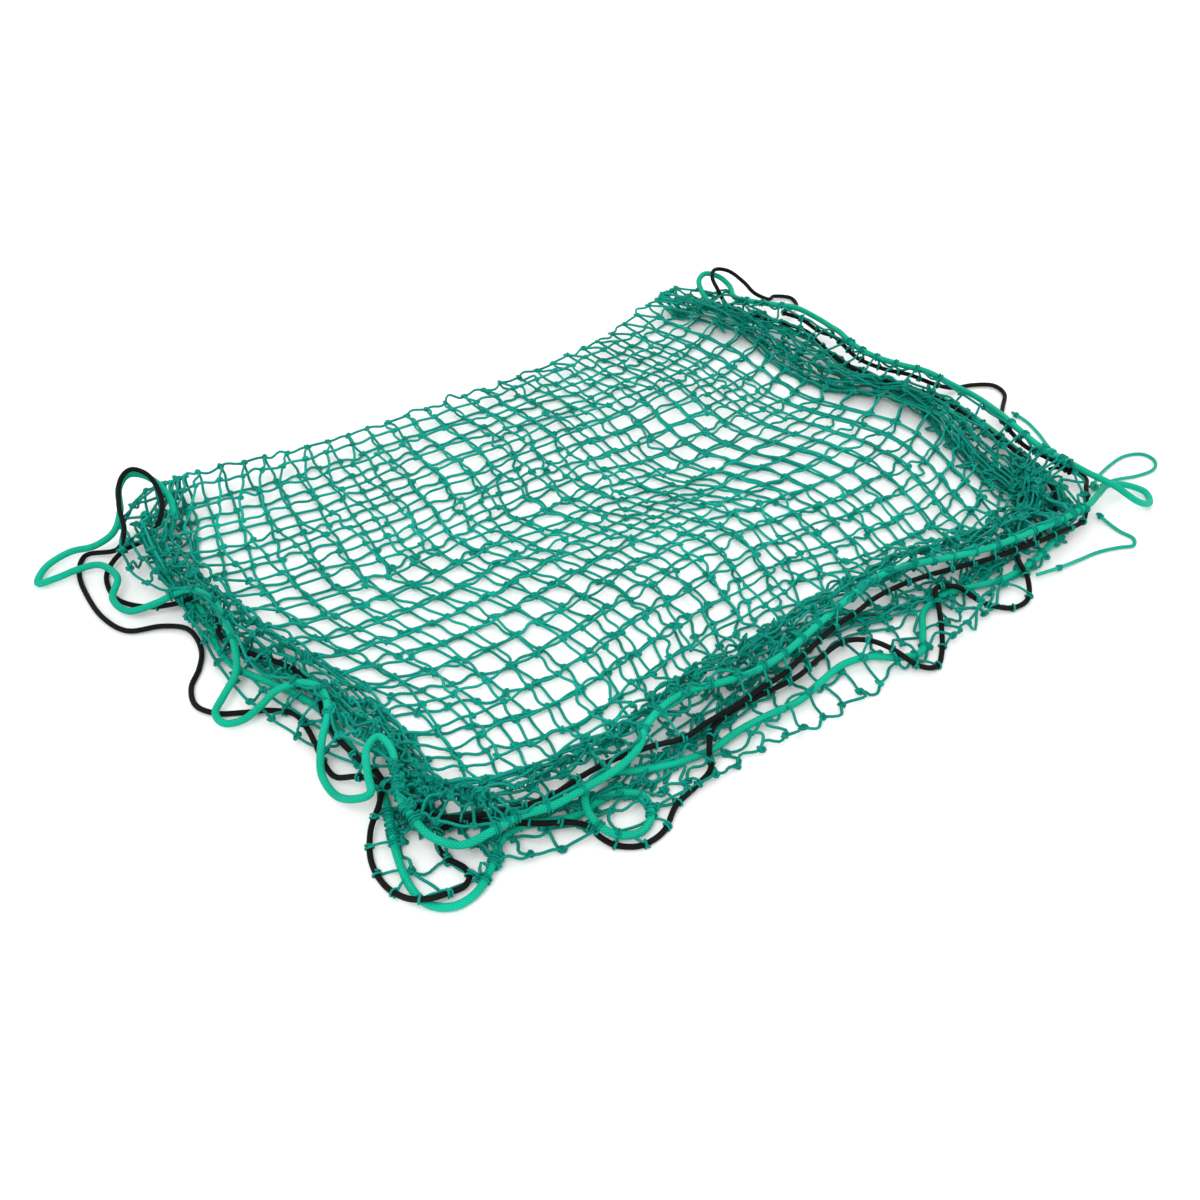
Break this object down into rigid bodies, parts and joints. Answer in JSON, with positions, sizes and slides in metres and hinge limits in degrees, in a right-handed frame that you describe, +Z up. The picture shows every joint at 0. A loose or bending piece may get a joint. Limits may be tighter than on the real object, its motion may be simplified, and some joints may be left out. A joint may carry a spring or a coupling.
{
  "type": "cargo net",
  "caption": "Knotted cord cargo net with a border rope and a laced elastic edge, lying folded double; the upper leaf opens about the fold.",
  "frame": {"origin": "middle of the floor under the folded net, at the bottom of its bounding box", "axes": "+X along the long side, from the left of the fold to the right; +Y towards the fold; +Z up from the floor"},
  "size_m": [1.4842, 0.936, 0.1014],
  "materials": {
    "net_twine": "matt polyethylene twine, knotted",
    "border_rope": "satin laid polypropylene rope",
    "lacing_cord": "satin thin braided cord",
    "elastic_cord": "black braided cover over rubber"
  },
  "bodies": {
    "lower_leaf": {"net_lower": "net_twine", "net_lower_gather_left": "net_twine", "net_lower_gather_front": "net_twine", "net_lower_gather_right": "net_twine", "net_corner_left": "net_twine", "net_corner_right": "net_twine", "rope_lower": "border_rope", "rope_lower_hitches": "net_twine", "elastic_lower": "elastic_cord", "elastic_lower_hitches": "net_twine", "lacing_front": "lacing_cord", "lacing_front_knots": "net_twine", "lacing_loop": "lacing_cord", "lacing_loop_knot": "lacing_cord", "net_fold": "net_twine", "rope_bight_left": "border_rope", "rope_bight_right": "border_rope", "elastic_bight_left": "elastic_cord", "elastic_bight_right": "elastic_cord"},
    "upper_leaf": {"net_upper": "net_twine", "net_upper_gather_left": "net_twine", "net_upper_gather_front": "net_twine", "net_upper_gather_right": "net_twine", "rope_upper": "border_rope", "rope_upper_hitches": "net_twine", "rope_whipping": "net_twine", "elastic_upper": "elastic_cord", "elastic_upper_hitches": "net_twine", "elastic_knot": "elastic_cord", "lacing_side": "lacing_cord", "lacing_side_knots": "net_twine"}
  },
  "joints": [
    {"name": "fold", "type": "hinge", "parent": "lower_leaf", "child": "upper_leaf", "pos_m": [0, 0.43852, 0.014], "axis": [-1, 0, 0], "range_deg": [0, 165], "deforming": ["net_fold", "rope_bight_left", "rope_bight_right", "elastic_bight_left", "elastic_bight_right"]}
  ]
}
